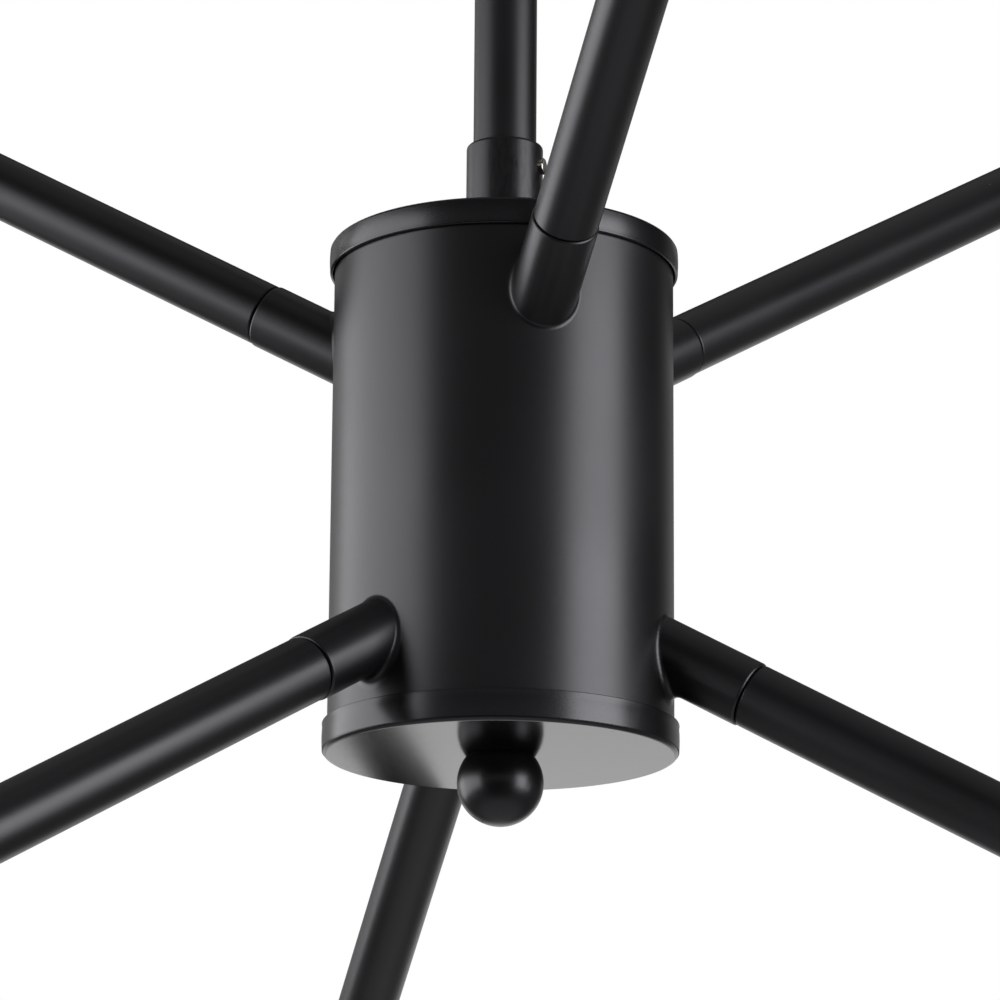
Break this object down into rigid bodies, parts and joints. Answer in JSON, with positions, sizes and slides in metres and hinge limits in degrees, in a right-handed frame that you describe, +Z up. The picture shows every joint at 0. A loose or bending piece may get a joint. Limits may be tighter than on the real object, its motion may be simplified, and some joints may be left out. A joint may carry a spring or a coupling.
{
  "type": "sputnik chandelier",
  "caption": "Black sputnik chandelier: a round hub with angled tube arms above and below, each ending in a screw lampholder, hung by a rod from a ceiling canopy with a ball swivel.",
  "frame": {"origin": "centre of the mounting bar's ceiling face, on the vertical axis of the fixture", "axes": "+Z up, out of the ceiling face and along the rod; +X along the outlet-box bar; -Y towards the front, where the first upper arm points 13.5 degrees to the right"},
  "size_m": [0.721, 0.7302, 0.9615],
  "materials": {
    "black_coat": "satin black powder coat",
    "zinc_steel": "zinc plated",
    "green_screw": "green passivated",
    "nickel": "bright nickel plate",
    "black_moulding": "moulded phenolic",
    "shell_brass": "rolled brass"
  },
  "bodies": {
    "ceiling_mount": {"outlet_box_bar": "zinc_steel", "canopy_bar": "zinc_steel", "crossbar_rivet": "zinc_steel", "ground_screw": "green_screw", "canopy_studs": "zinc_steel", "canopy": "black_coat", "canopy_nuts": "black_coat", "canopy_doubler": "zinc_steel"},
    "swivel_housing": {"swivel_cup": "black_coat", "swivel_ring": "black_coat", "swivel_washer": "zinc_steel", "swivel_nut": "zinc_steel"},
    "pendant": {"swivel_ball": "black_coat", "upper_rod": "black_coat", "rod_nipple": "zinc_steel", "lower_rod": "black_coat", "hub_collar": "black_coat", "centre_pipe": "zinc_steel", "pipe_washer": "zinc_steel", "pipe_nut": "zinc_steel", "top_cap": "black_coat", "hub_body": "black_coat", "arm_nipples": "zinc_steel", "cup_nipples": "zinc_steel", "arm_upper_1": "black_coat", "arm_upper_2": "black_coat", "arm_upper_3": "black_coat", "arm_lower_1": "black_coat", "arm_lower_2": "black_coat", "arm_lower_3": "black_coat", "socket_cup_upper_1": "black_coat", "socket_cup_upper_2": "black_coat", "socket_cup_upper_3": "black_coat", "socket_cup_lower_1": "black_coat", "socket_cup_lower_2": "black_coat", "socket_cup_lower_3": "black_coat", "lampholder_upper_1": "black_moulding", "lampholder_upper_2": "black_moulding", "lampholder_upper_3": "black_moulding", "lampholder_lower_1": "black_moulding", "lampholder_lower_2": "black_moulding", "lampholder_lower_3": "black_moulding", "screw_shell_upper_1": "shell_brass", "screw_shell_upper_2": "shell_brass", "screw_shell_upper_3": "shell_brass", "screw_shell_lower_1": "shell_brass", "screw_shell_lower_2": "shell_brass", "screw_shell_lower_3": "shell_brass"},
    "bottom_cover": {"bottom_cap": "black_coat"},
    "finial_nut": {"finial": "black_coat"},
    "set_screw": {"collar_set_screw": "nickel"},
    "contact_upper_1": {"centre_contact_upper_1": "shell_brass"},
    "contact_upper_2": {"centre_contact_upper_2": "shell_brass"},
    "contact_upper_3": {"centre_contact_upper_3": "shell_brass"},
    "contact_lower_1": {"centre_contact_lower_1": "shell_brass"},
    "contact_lower_2": {"centre_contact_lower_2": "shell_brass"},
    "contact_lower_3": {"centre_contact_lower_3": "shell_brass"}
  },
  "joints": [
    {"name": "swivel_turn", "type": "hinge", "parent": "ceiling_mount", "child": "swivel_housing", "pos_m": [0, 0, -0.0404], "axis": [0, 0, 1], "range_deg": [-165, 165]},
    {"name": "swivel_tilt", "type": "hinge", "parent": "swivel_housing", "child": "pendant", "pos_m": [0, 0, -0.0404], "axis": [0, 1, 0], "range_deg": [-30, 30]},
    {"name": "cap_drop", "type": "slide", "parent": "pendant", "child": "bottom_cover", "axis": [0, 0, -1], "range_m": [0, 0.006]},
    {"name": "finial_turn", "type": "hinge", "parent": "bottom_cover", "child": "finial_nut", "pos_m": [0, 0, -0.7926], "axis": [0, 0, -1], "range_deg": [0, 2160]},
    {"name": "set_screw_turn", "type": "hinge", "parent": "pendant", "child": "set_screw", "pos_m": [0.0086, -0.00296, -0.6441], "axis": [0.9455, -0.3256, 0], "range_deg": [0, 360]},
    {"name": "contact_flex_upper_1", "type": "hinge", "parent": "pendant", "child": "contact_upper_1", "pos_m": [0.07711, -0.32117, -0.51777], "axis": [0.9724, 0.2334, 0], "range_deg": [0, 12], "stiffness_Nm_per_rad": 0.1},
    {"name": "contact_flex_upper_2", "type": "hinge", "parent": "pendant", "child": "contact_upper_2", "pos_m": [0.23959, 0.22736, -0.51777], "axis": [-0.6884, 0.7254, 0], "range_deg": [0, 12], "stiffness_Nm_per_rad": 0.1},
    {"name": "contact_flex_upper_3", "type": "hinge", "parent": "pendant", "child": "contact_upper_3", "pos_m": [-0.31669, 0.09381, -0.51777], "axis": [-0.284, -0.9588, 0], "range_deg": [0, 12], "stiffness_Nm_per_rad": 0.1},
    {"name": "contact_flex_lower_1", "type": "hinge", "parent": "pendant", "child": "contact_lower_1", "pos_m": [-0.24423, -0.23176, -0.92149], "axis": [0.6884, -0.7254, 0], "range_deg": [0, 12], "stiffness_Nm_per_rad": 0.1},
    {"name": "contact_flex_lower_2", "type": "hinge", "parent": "pendant", "child": "contact_lower_2", "pos_m": [0.32283, -0.09563, -0.92149], "axis": [0.284, 0.9588, 0], "range_deg": [0, 12], "stiffness_Nm_per_rad": 0.1},
    {"name": "contact_flex_lower_3", "type": "hinge", "parent": "pendant", "child": "contact_lower_3", "pos_m": [-0.0786, 0.32739, -0.92149], "axis": [-0.9724, -0.2334, 0], "range_deg": [0, 12], "stiffness_Nm_per_rad": 0.1}
  ],
  "couplings": [
    {"joint": "finial_turn", "follows": "cap_drop", "rad_per_m": 6283.2}
  ]
}
